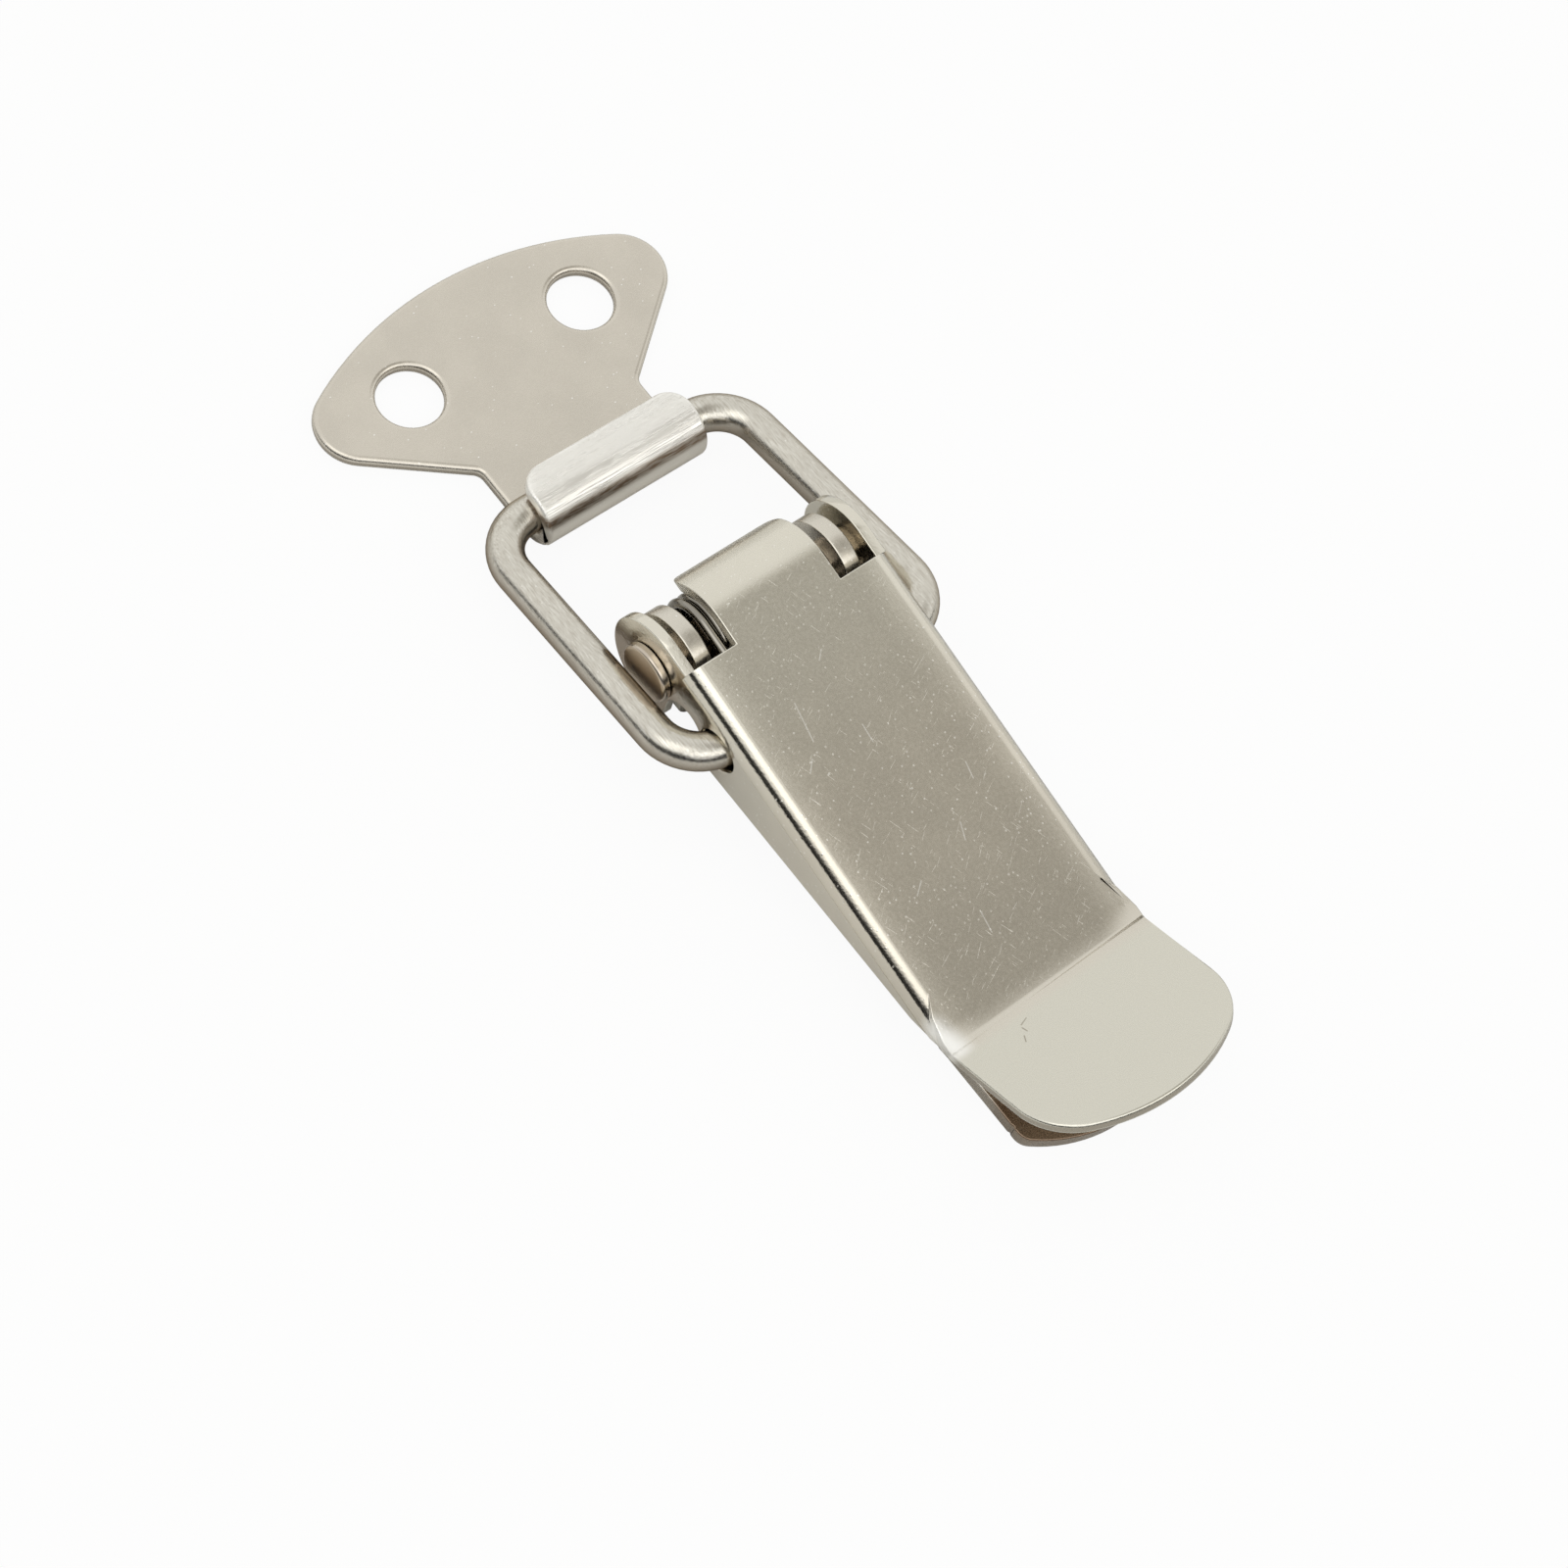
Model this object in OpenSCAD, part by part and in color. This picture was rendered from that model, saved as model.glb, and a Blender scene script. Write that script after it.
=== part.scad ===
// Over centre toggle latch of pressed sheet steel, drawn closed and hooked.
// The rivet axis lies over the origin along Y, the mounting face is z = 0,
// and +X points along the pull, from the base towards the strike plate.

/* [Strike plate] */
// Thickness of the strike plate sheet
strike_t = 1.0; // [0.8:0.05:1.1]
// Diameter of the two screw holes in the strike plate
strike_hole_d = 4.5; // [4:0.1:5]
// Distance between the two strike plate holes
strike_pitch = 14; // [13:0.5:15]
// Width of the neck and of the hook
neck_w = 13.0; // [12:0.25:13.2]

/* [Bail] */
// Diameter of the bail wire
wire_d = 2.5; // [2.2:0.1:2.5]
// How far the bail stands out past the lever wall on each side
bail_gap = 3.55; // [3.4:0.05:3.9]
// How far each bail end reaches in past the lever wall
bail_end = 1.0; // [0.4:0.1:1.6]

/* [Lever] */
// Width of the folded lever over its side walls
lever_w = 16.2; // [15.8:0.1:16.6]
// Thickness of the lever sheet
lever_t = 0.8; // [0.7:0.05:0.85]
// Width of the thumb tab
tab_w = 16.1; // [15.8:0.1:18]
// Length of the thumb tab along its own slope
tab_l = 11.3; // [9:0.1:14]
// How steeply the thumb tab kicks up from the lever top, in degrees
tab_angle = 36; // [28:1:44]

/* [Base] */
// Thickness of the base sheet
base_t = 1.2; // [1:0.05:1.25]
// Width of the long tail of the base plate
base_w = 13.3; // [12.6:0.1:13.5]
// Distance from the rivet axis back to the rear end of the base
base_rear = 38.9; // [36.5:0.1:40]
// Diameter of the two screw holes in the base
base_hole_d = 4.5; // [4:0.1:5]
// Distance from the rivet axis to the first base hole
base_hole_x = 11; // [10.5:0.25:13]
// Distance between the two base holes
base_pitch = 20; // [16:0.5:21]

/* [Rivet and spring] */
// Diameter of the rivet shank
rivet_d = 3.0; // [2.8:0.1:3]
// Diameter of the flat rivet head
head_d = 4.1; // [4:0.1:4.6]
// Thickness of the flat rivet head
head_t = 0.6; // [0.5:0.05:0.8]
// Diameter of the spring wire
spring_wire = 0.7; // [0.6:0.05:0.7]

/* [Hidden] */
$fn = 96;
e = 0.01;

// Clearances between mating pieces
pin_clear = 0.05;
hook_clear = 0.08;
bail_clear = 0.32;
head_clear = 0.05;

// A straight run reaches this far into its bend, and the bend is this much
// thinner, so that the two join in one solid
lap = 0.02;
thin = 0.005;

// Rivet axis height and the common radius of the nose curl and lever ears
pivot_z = 5.55;
nose_r = 4.05;
lever_slope = 10.9;

// Bail: bar centre over the strike plate, pivot in the lever walls
wire_r = wire_d / 2;
bar_x = 14.1;
bar_z = strike_t + hook_clear + wire_r;
hole_x = -6.65;
hole_z = 5.45;
bail_splay = 0.5;
bar_corner_r = 3.3;
end_corner_r = 3.3;

// Strike plate outline, measured from the bar centre
hook_in = wire_r + hook_clear;
hook_out = hook_in + strike_t;
lip_l = 1.8;
lip_corner = 1.7;
plate_far = 17.85;
plate_arc_r = 25.3;
plate_corner_r = 3.1;
strike_hole_x = 11.7;
flank_angle = 52.2;
flank_x = 4.97;
flank_y = 6.77;
neck_fillet = 0.9;

// Lever, measured along its own slope from the rivet axis
notch_u = 1.9;
tongue_w = 8.4;
tongue_end = 0.3;
tongue_corner_r = 1.8;
bend_out = 1.2;
bend_u = 29.76;
tab_bend_r = 1.0;
tab_run = tab_bend_r * tan(tab_angle / 2);
tab_corner_r = 4.6;
tab_arc_r = 11.8;
wall_low = 2.7;
valley_r = 1.75;
valley_x = -3.65;
valley_z = 3.95;
bail_hole_r = wire_r + bail_clear;

// Base
ear_r = 3.15;
wall_ear_r = 3.65;
ear_out = 13.3;
ear_bend = 1.0;
ear_neck = 4.0;
floor_front = 2.6;
tail_front = -4.8;
tail_arc_r = 10;
nick = 0.3;

// Spring coil round the rivet: it fills the nose, and ends beside the left ear
coil_clear = 0.25;
coil_r = nose_r - lever_t - coil_clear - spring_wire / 2;
coil_turns = 11;
coil_left = tongue_w / 2 + spring_wire / 2;
coil_right = coil_left - coil_turns * (spring_wire + 0.02);

// Turns a shape drawn in X and Y into the upright X and Z plane, w wide along Y
module upright(w) {
    rotate([90, 0, 0])
        linear_extrude(height = w, center = true)
            children();
}

// Places lever parts drawn level round the rivet axis at the lever's slope
module on_slope() {
    translate([0, 0, pivot_z])
        rotate([0, -lever_slope, 0])
            children();
}

module both_sides() {
    children();
    mirror([0, 1, 0])
        children();
}

// Plan of a strip that runs from x = near back to x = far and ends there in a
// shallow arc with two rounded corners. The corner rounds are a hair small, so
// that they cross the arc and the sides cleanly
module arc_ended_strip(near, far, half, arc_r, corner_r) {
    arc_x = far + arc_r;
    k_y = half - corner_r;
    k_x = arc_x - sqrt(pow(arc_r - corner_r, 2) - k_y * k_y);
    out = 1.1 * arc_r / (arc_x - k_x);
    union() {
        translate([k_x, -half])
            square([near - k_x, 2 * half]);
        for (s = [-1, 1])
            translate([k_x, s * k_y])
                circle(r = corner_r - thin);
        intersection() {
            translate([arc_x, 0])
                circle(r = arc_r, $fn = 144);
            polygon([
                [k_x + 0.3, 0],
                [k_x + 0.02 * (arc_x - k_x), 0.98 * k_y],
                [arc_x + out * (k_x - arc_x), out * k_y],
                [arc_x + out * (k_x - arc_x), -out * k_y],
                [k_x + 0.02 * (arc_x - k_x), -0.98 * k_y]
            ]);
        }
    }
}

// Base plate: flat tail with two upright ears folded from its front end
module tail_outline() {
    half = base_w / 2;
    union() {
        arc_ended_strip(tail_front - 0.8, -base_rear, half, tail_arc_r, 1.2);
        translate([tail_front - 0.9, -half + 0.8])
            square([0.9, base_w - 1.6]);
        for (s = [-1, 1])
            translate([tail_front - 0.8, s * (half - 0.8)])
                circle(r = 0.8);
    }
}

module base_ear() {
    out = ear_out / 2;
    bend_o = ear_bend + base_t;
    difference() {
        union() {
            translate([0, out, pivot_z])
                rotate([90, 0, 0])
                    cylinder(h = base_t, r = ear_r);
            translate([-ear_neck / 2, out - base_t, bend_o])
                cube([ear_neck, base_t, pivot_z - bend_o]);
            intersection() {
                translate([0, out - bend_o, bend_o])
                    rotate([0, 90, 0])
                        difference() {
                            cylinder(h = ear_neck, r = bend_o, center = true);
                            cylinder(h = ear_neck + 1, r = ear_bend, center = true);
                        }
                translate([-ear_neck, out - bend_o, -e])
                    cube([2 * ear_neck, bend_o + 1, bend_o + e]);
            }
        }
        translate([0, out + 1, pivot_z])
            rotate([90, 0, 0])
                cylinder(h = base_t + 2, r = rivet_d / 2 + pin_clear);
    }
}

module base() {
    floor_y = ear_out / 2 - ear_bend - base_t;
    color("silver")
        difference() {
            union() {
                linear_extrude(height = base_t)
                    tail_outline();
                translate([tail_front - 1, -floor_y, 0])
                    cube([1 - tail_front + floor_front, 2 * floor_y, base_t]);
                both_sides()
                    base_ear();
            }
            for (x = [base_hole_x, base_hole_x + base_pitch])
                translate([-x, 0, -1])
                    cylinder(h = base_t + 2, r = base_hole_d / 2);
            for (s = [-1, 1])
                translate([-base_rear + 3.5, s * (base_w / 2 + 0.08), -1])
                    cylinder(h = base_t + 2, r = nick / 2, $fn = 24);
        }
}

// Flat headed rivet through both pairs of ears, upset on the far side
module rivet_pin() {
    seat = lever_w / 2 + head_clear;
    r = rivet_d / 2;
    hr = head_d / 2;
    upset_r = hr - 0.2;
    upset_rim = 0.25;
    upset_cap = 0.35;
    cap_r = (upset_r * upset_r + upset_cap * upset_cap) / (2 * upset_cap);
    color("lightgray")
        translate([0, 0, pivot_z])
            rotate([-90, 0, 0])
                rotate_extrude()
                    difference() {
                        union() {
                            translate([0, -seat])
                                square([r, 2 * seat]);
                            translate([0, seat])
                                square([hr, head_t - 0.25]);
                            translate([0, seat])
                                square([hr - 0.25, head_t]);
                            translate([hr - 0.25, seat + head_t - 0.25])
                                circle(r = 0.25, $fn = 32);
                            translate([0, -seat - upset_rim])
                                square([upset_r, upset_rim]);
                            intersection() {
                                translate([0, -seat - upset_rim - upset_cap + cap_r])
                                    circle(r = cap_r);
                                translate([0, -seat - upset_rim - upset_cap - 1])
                                    square([upset_r - thin, upset_cap + 1.1]);
                            }
                        }
                        translate([-10, -20])
                            square([10, 40]);
                    }
}

// Torsion spring: close coils round the rivet, one leg on the base floor and
// one leg under the lever top, swept as one wire
base_leg_x = -8.2;
base_leg_z = base_t + 0.05 + spring_wire / 2;
lever_leg_x = -9;
lever_leg_z = pivot_z + lever_leg_x * tan(lever_slope)
    + (nose_r - lever_t - 0.08 - spring_wire / 2) / cos(lever_slope);
spring_steps = 225;
spring_sides = 8;

// Angle at which a leg ending at x, z leaves the coil, above or below
function leave(x, z, side) =
    atan2(z - pivot_z, x) - side * acos(coil_r / norm([x, z - pivot_z]));
coil_from = leave(base_leg_x, base_leg_z, -1);
coil_to = leave(lever_leg_x, lever_leg_z, 1) + 360 * coil_turns;
function tangent_l(x, z) = sqrt(x * x + pow(z - pivot_z, 2) - coil_r * coil_r);
function coil_a(t) = coil_from + t * (coil_to - coil_from);
function coil_y(t) = coil_right + (coil_left - coil_right) * t;

// One ring of the wire round the coil at angle a, moved by run along the wire
function ring(a, y, run) = [
    for (j = [0 : spring_sides - 1])
        let (
            q = j * 360 / spring_sides,
            out = coil_r + spring_wire / 2 * cos(q),
            up = spring_wire / 2 * sin(q)
        )
        [
            out * cos(a) - run * sin(a),
            y + up,
            pivot_z + out * sin(a) + run * cos(a)
        ]
];

module torsion_spring() {
    n = spring_steps;
    k = spring_sides;
    rings = concat(
        [ring(coil_from, coil_right, -tangent_l(base_leg_x, base_leg_z))],
        [for (i = [0 : n]) ring(coil_a(i / n), coil_y(i / n), 0)],
        [ring(coil_to, coil_left, tangent_l(lever_leg_x, lever_leg_z))]
    );
    points = [for (r = rings) for (p = r) p];
    sides = [
        for (i = [0 : n + 1], j = [0 : k - 1])
            [i * k + j, (i + 1) * k + j, (i + 1) * k + (j + 1) % k, i * k + (j + 1) % k]
    ];
    first = [for (j = [0 : k - 1]) j];
    last = [for (j = [0 : k - 1]) (n + 3) * k - 1 - j];
    color("gray")
        polyhedron(points = points, faces = concat([first], sides, [last]), convexity = 12);
}

// Lever: channel, ears, curled nose and thumb tab, all of one folded sheet
module channel_section() {
    half = lever_w / 2;
    difference() {
        union() {
            translate([-half, -12])
                square([lever_w, 12 + nose_r - bend_out]);
            translate([-half + bend_out, 0])
                square([lever_w - 2 * bend_out, nose_r]);
            for (s = [-1, 1])
                translate([s * (half - bend_out), nose_r - bend_out])
                    circle(r = bend_out);
        }
        union() {
            inner = bend_out - lever_t;
            translate([-half + lever_t, -13])
                square([lever_w - 2 * lever_t, 13 + nose_r - lever_t - inner]);
            translate([-half + bend_out, -1])
                square([lever_w - 2 * bend_out, 1 + nose_r - lever_t]);
            for (s = [-1, 1])
                translate([s * (half - bend_out), nose_r - bend_out])
                    circle(r = inner);
        }
    }
}

// Side view of one wall in X and Z behind the ear: bail lobe and long foot
module wall_profile() {
    lobe = 1.1;
    lobe_x = valley_x - valley_r - lobe;
    union() {
        polygon([
            [2, pivot_z - 2],
            [2, pivot_z + 6],
            [-32, pivot_z + 6],
            [-32, 3.3],
            [-29.3, 3.3],
            [-26.6, wall_low],
            [lobe_x, wall_low],
            [lobe_x + lobe, wall_low + lobe],
            [lobe_x + lobe, pivot_z - 2]
        ]);
        translate([lobe_x, wall_low + lobe])
            circle(r = lobe);
    }
}

// Side view of what is cut through both walls: valley, bail and rivet holes
module wall_cuts() {
    translate([valley_x, valley_z])
        circle(r = valley_r);
    translate([valley_x - valley_r, valley_z - 8])
        square([2 * valley_r, 8]);
    translate([hole_x, hole_z])
        circle(r = bail_hole_r);
    translate([0, pivot_z])
        circle(r = rivet_d / 2 + pin_clear);
}

module lever_channel() {
    intersection() {
        on_slope()
            translate([-bend_u + 0.9, 0, 0])
                rotate([90, 0, 90])
                    linear_extrude(height = bend_u - 0.9 - notch_u)
                        channel_section();
        upright(30)
            wall_profile();
    }
}

// Ear: a flat disc round the rivet with a web that joins it to the channel
module lever_ear() {
    shoulder = nose_r - bend_out - 0.3;
    on_slope()
        translate([0, lever_w / 2 - lever_t / 2, 0])
            upright(lever_t)
                union() {
                    difference() {
                        circle(r = wall_ear_r);
                        translate([-9, shoulder])
                            square([9 - notch_u, 9]);
                    }
                    polygon([
                        [0, 0],
                        [0, wall_ear_r],
                        [-notch_u, wall_ear_r],
                        [-notch_u, shoulder],
                        [-notch_u - 0.6, shoulder],
                        [-notch_u - 0.6, 0]
                    ]);
                }
}

// Nose: the sheet between the notches, curled round the spring. Its free end
// lies at the height of the rivet axis and has two rounded corners
module tongue_front() {
    side = tongue_w / 2 - tongue_corner_r;
    union() {
        translate([-tongue_w / 2, tongue_end + tongue_corner_r])
            square([tongue_w, nose_r + 1]);
        translate([-side, tongue_end])
            square([2 * side, tongue_corner_r + 1]);
        for (s = [-1, 1])
            translate([s * side, tongue_end + tongue_corner_r])
                circle(r = tongue_corner_r);
    }
}

module lever_tongue() {
    on_slope() {
        translate([-notch_u - 1, -tongue_w / 2, nose_r - lever_t])
            cube([notch_u + 1, tongue_w, lever_t]);
        intersection() {
            rotate([90, 0, 0])
                difference() {
                    cylinder(h = tongue_w, r = nose_r, center = true);
                    cylinder(h = tongue_w + 1, r = nose_r - lever_t, center = true);
                }
            rotate([90, 0, 90])
                linear_extrude(height = nose_r + 1)
                    tongue_front();
        }
    }
}

// Plan of the level sheet that flares from the channel out to the tab width
module flare_plan() {
    h = tab_w / 2;
    polygon([
        [-bend_u + 3.8, -lever_w / 2 + bend_out],
        [-bend_u + 2.4, -lever_w / 2 + 0.4],
        [-bend_u + 0.8, -h],
        [-bend_u + tab_run - lap, -h],
        [-bend_u + tab_run - lap, h],
        [-bend_u + 0.8, h],
        [-bend_u + 2.4, lever_w / 2 - 0.4],
        [-bend_u + 3.8, lever_w / 2 - bend_out]
    ]);
}

module lever_tab() {
    on_slope() {
        translate([0, 0, nose_r - lever_t])
            linear_extrude(height = lever_t)
                flare_plan();
        translate([-bend_u + tab_run, 0, nose_r + tab_bend_r])
            rotate([90, 0, 0])
                intersection() {
                    difference() {
                        cylinder(h = tab_w - thin, r = tab_bend_r + lever_t - thin, center = true);
                        cylinder(h = tab_w + 1, r = tab_bend_r + thin, center = true);
                    }
                    linear_extrude(height = tab_w + 2, center = true)
                        polygon([
                            [0, 0],
                            [9 * sin(2), -9 * cos(2)],
                            [-9 * sin(tab_angle + 2), -9 * cos(tab_angle + 2)]
                        ]);
                }
        translate([-bend_u, 0, nose_r])
            rotate([0, tab_angle, 0])
                translate([0, 0, -lever_t])
                    linear_extrude(height = lever_t)
                        arc_ended_strip(lap - tab_run, -tab_l, tab_w / 2, tab_arc_r, tab_corner_r);
    }
}

module lever() {
    color("lightgray")
        difference() {
            union() {
                lever_channel();
                both_sides()
                    lever_ear();
                lever_tongue();
                lever_tab();
            }
            both_sides()
                translate([0, lever_w / 2 - lever_t / 2, 0])
                    upright(lever_t + 1)
                        wall_cuts();
        }
}

// Bail: one wire bent to a rounded loop, ends turned in through the lever
bail_dx = hole_x - bar_x;
bail_dz = hole_z - bar_z;
bail_l = norm([bail_dx, bail_dz]);
bail_tilt = atan2(bail_dz, -bail_dx);
end_half = lever_w / 2 + bail_gap - wire_r;
bar_half = end_half - bail_splay;
splay = atan(bail_splay / bail_l);
bar_arc_y = bar_half - bar_corner_r * (1 - sin(splay)) / cos(splay);
end_arc_y = bar_half + (bail_l - end_corner_r) * tan(splay) - end_corner_r / cos(splay);
leg_a = [bar_corner_r * (1 - sin(splay)), bar_arc_y + bar_corner_r * cos(splay)];
leg_b = [
    bail_l - end_corner_r - end_corner_r * sin(splay),
    end_arc_y + end_corner_r * cos(splay)
];

// A bent piece of wire: centre x, centre y, bend radius, start angle, sweep
module wire_bend(cx, cy, r, a0, sweep) {
    translate([cx, cy, 0])
        rotate([0, 0, a0])
            rotate_extrude(angle = sweep)
                translate([r, 0])
                    circle(r = wire_r - thin, $fn = 48);
}

module half_bail() {
    leg = norm(leg_b - leg_a);
    pin_in = lever_w / 2 - lever_t - bail_end;
    wire_bend(bar_corner_r, bar_arc_y, bar_corner_r, 90 + splay, 90 - splay);
    translate([leg_a[0], leg_a[1], 0])
        rotate([0, 0, splay])
            translate([-lap, 0, 0])
                rotate([0, 90, 0])
                    cylinder(h = leg + 2 * lap, r = wire_r, $fn = 48);
    wire_bend(bail_l - end_corner_r, end_arc_y, end_corner_r, 0, 90 + splay);
    translate([bail_l, end_arc_y + lap, 0])
        rotate([90, 0, 0])
            cylinder(h = end_arc_y + lap - pin_in, r = wire_r, $fn = 48);
}

module bail() {
    color("whitesmoke")
        translate([bar_x, 0, bar_z])
            rotate([0, bail_tilt, 0])
                mirror([1, 0, 0]) {
                    rotate([90, 0, 0])
                        cylinder(h = 2 * (bar_arc_y + lap), r = wire_r, center = true, $fn = 48);
                    both_sides()
                        half_bail();
                }
}

// Strike plate: fan with two holes, neck, and a hook curled back over the bar
module strike_outline() {
    neck = neck_w / 2;
    d = [cos(flank_angle), sin(flank_angle)];
    n = [sin(flank_angle), -cos(flank_angle)];
    arc_c = [plate_far - plate_arc_r, 0];
    f = [flank_x, flank_y];
    q = f + plate_corner_r * n - arc_c;
    reach = plate_arc_r - plate_corner_r;
    qd = q * d;
    t = -qd + sqrt(qd * qd - q * q + reach * reach);
    k = f + plate_corner_r * n + t * d;
    flank_t = k - plate_corner_r * n;
    root = [flank_x - (flank_y - neck) / tan(flank_angle), neck];
    turn = neck_fillet * tan(flank_angle / 2);
    k_in = arc_c + 0.98 * (k - arc_c);
    k_out = arc_c + 1.4 * (k - arc_c);
    union() {
        translate([-lap, -neck])
            square([root[0] + 1 + lap, neck_w]);
        polygon([
            [root[0], -neck],
            root,
            flank_t,
            k,
            [k[0], -k[1]],
            [flank_t[0], -flank_t[1]]
        ]);
        for (s = [-1, 1])
            translate([k[0], s * k[1]])
                circle(r = plate_corner_r - thin);
        intersection() {
            translate(arc_c)
                circle(r = plate_arc_r, $fn = 240);
            polygon([
                [root[0] + 1, 0],
                k_in,
                k_out,
                [k_out[0], -k_out[1]],
                [k_in[0], -k_in[1]]
            ]);
        }
        for (s = [0, 1])
            mirror([0, s])
                difference() {
                    polygon([
                        root - [0, 0.3],
                        [root[0] - turn, neck - 0.3],
                        [root[0] - turn, neck + neck_fillet],
                        root + turn * d,
                        root + turn * d + 0.3 * n
                    ]);
                    translate([root[0] - turn, neck + neck_fillet])
                        circle(r = neck_fillet + thin);
                }
    }
}

// Flat lip past the curl, with rounded corners
module lip_plan() {
    neck = neck_w / 2;
    union() {
        translate([-lap, -neck])
            square([lap + lip_l - lip_corner, neck_w]);
        translate([0, -neck + lip_corner])
            square([lip_l, neck_w - 2 * lip_corner]);
        intersection() {
            for (s = [-1, 1])
                translate([lip_l - lip_corner, s * (neck - lip_corner)])
                    circle(r = lip_corner);
            translate([0, -neck])
                square([lip_l, neck_w]);
        }
    }
}

module strike_plate() {
    neck = neck_w / 2;
    color("lightgray")
        translate([bar_x, 0, 0])
            difference() {
                union() {
                    linear_extrude(height = strike_t)
                        strike_outline();
                    intersection() {
                        translate([0, 0, bar_z])
                            rotate([90, 0, 0])
                                difference() {
                                    cylinder(h = neck_w, r = hook_out - thin, center = true);
                                    cylinder(h = neck_w + 1, r = hook_in + thin, center = true);
                                }
                        translate([-10, -neck - 1, -1])
                            cube([10, neck_w + 2, 10]);
                    }
                    translate([0, 0, bar_z + hook_in])
                        linear_extrude(height = strike_t)
                            lip_plan();
                }
                for (s = [-1, 1])
                    translate([strike_hole_x, s * strike_pitch / 2, -1])
                        cylinder(h = strike_t + 2, r = strike_hole_d / 2);
            }
}

base();
rivet_pin();
torsion_spring();
lever();
bail();
strike_plate();
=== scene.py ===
# %% [markdown]
# # Over centre toggle latch
# A small case latch of nickel plated steel. A hooked strike plate hangs on a
# bent wire bail, the bail is pulled by a folded lever, and the lever turns on
# a rivet in a low base, with a spring coiled round it.
# The construction model is loaded first. It says where every piece sits and
# how it moves, and this script gives the pieces their finished looks.

# %% Load the frame
import math

import bpy
from mathutils import Matrix, Vector
from mathutils.bvhtree import BVHTree


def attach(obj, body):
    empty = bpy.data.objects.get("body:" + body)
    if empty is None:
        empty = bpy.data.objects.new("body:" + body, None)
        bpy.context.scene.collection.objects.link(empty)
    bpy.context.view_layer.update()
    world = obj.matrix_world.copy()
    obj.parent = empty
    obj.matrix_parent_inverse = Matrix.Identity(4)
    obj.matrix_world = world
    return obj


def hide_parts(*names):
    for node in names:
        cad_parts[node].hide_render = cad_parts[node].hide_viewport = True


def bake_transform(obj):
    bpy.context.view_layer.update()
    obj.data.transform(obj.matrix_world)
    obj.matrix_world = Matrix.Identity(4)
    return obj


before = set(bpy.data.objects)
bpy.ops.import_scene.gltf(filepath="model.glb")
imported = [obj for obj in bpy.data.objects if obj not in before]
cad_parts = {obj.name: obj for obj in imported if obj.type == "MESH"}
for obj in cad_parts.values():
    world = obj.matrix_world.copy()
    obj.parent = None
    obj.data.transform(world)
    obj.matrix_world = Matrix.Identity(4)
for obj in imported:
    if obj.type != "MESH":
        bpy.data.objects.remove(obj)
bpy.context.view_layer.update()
MM = 0.001
print("pieces:", ", ".join(sorted(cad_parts)))

# %% [markdown]
# The camera stands where the photographer stood: high above the open end of
# the tab and to its side. Its place and its long lens were found by fitting
# the outline, so the three directions are written down as they were found.

# %% Camera
def add_camera(place, right, up, ahead, lens, shift):
    data = bpy.data.cameras.new("camera")
    data.lens = lens
    data.sensor_width = 36.0
    data.shift_x = shift
    data.clip_start = 0.01
    data.clip_end = 10.0
    camera = bpy.data.objects.new("camera", data)
    bpy.context.scene.collection.objects.link(camera)
    turn = Matrix((right, up, [-a for a in ahead])).transposed().to_4x4()
    camera.matrix_world = Matrix.Translation(Vector(place) * MM) @ turn
    bpy.context.scene.camera = camera
    return camera


camera = add_camera(
    place=(-62.58, 97.23, 202.61),
    right=(-0.6135, -0.7679, 0.1841),
    up=(0.7531, -0.4988, 0.4290),
    ahead=(0.2376, -0.4019, -0.8843),
    lens=83.84,
    shift=0.0203,
)
print("camera", round(camera.location.length / MM), "mm from the rivet")

# %% [markdown]
# In Blender a material is a network of small nodes, and so is the world round
# the scene. Each node takes numbers or colours in and gives one out. These
# helpers add a node and join it up in one line, so that a finish reads like a
# recipe further down: browner here, smoother there.

# %% Node helpers
def link(tree, a, b):
    tree.links.new(a, b)


def add_node(tree, kind, **values):
    node = tree.nodes.new(kind)
    for name, value in values.items():
        setattr(node, name, value)
    return node


def math_node(tree, operation, a, b=None, clamp=False):
    node = add_node(tree, "ShaderNodeMath", operation=operation, use_clamp=clamp)
    for socket, value in zip(node.inputs, (a, b)):
        if value is None:
            continue
        if isinstance(value, (int, float)):
            socket.default_value = value
        else:
            link(tree, value, socket)
    return node.outputs[0]


def times(tree, value, *factors):
    for factor in factors:
        value = math_node(tree, "MULTIPLY", value, factor)
    return value


print("helpers: link, add_node, math_node, times")

# %% [markdown]
# Most details have a place: only on the hook, only past the crease. A soft
# ramp over a height or a distance marks such a place with numbers from 0 to 1,
# and has no hard line where it ends, as a real stain or worn spot has none.

# %% Soft ramps
def ramp_between(tree, value, low, high, out_low, out_high):
    """Goes from out_low to out_high while the value goes from low to high."""
    node = add_node(tree, "ShaderNodeMapRange", interpolation_type="SMOOTHSTEP")
    link(tree, value, node.inputs["Value"])
    for name, number in (
        ("From Min", low),
        ("From Max", high),
        ("To Min", out_low),
        ("To Max", out_high),
    ):
        node.inputs[name].default_value = number
    return node.outputs["Result"]


def rises(tree, value, low, high):
    return ramp_between(tree, value, low, high, 0.0, 1.0)


def falls(tree, value, low, high):
    return ramp_between(tree, value, low, high, 1.0, 0.0)


def toward(tree, direction, target):
    """1 where the direction looks at the target, -1 where it looks away."""
    node = add_node(tree, "ShaderNodeVectorMath", operation="DOT_PRODUCT")
    link(tree, direction, node.inputs[0])
    node.inputs[1].default_value = Vector(target).normalized()
    return node.outputs["Value"]


print("ramps: rises, falls, toward")

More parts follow.
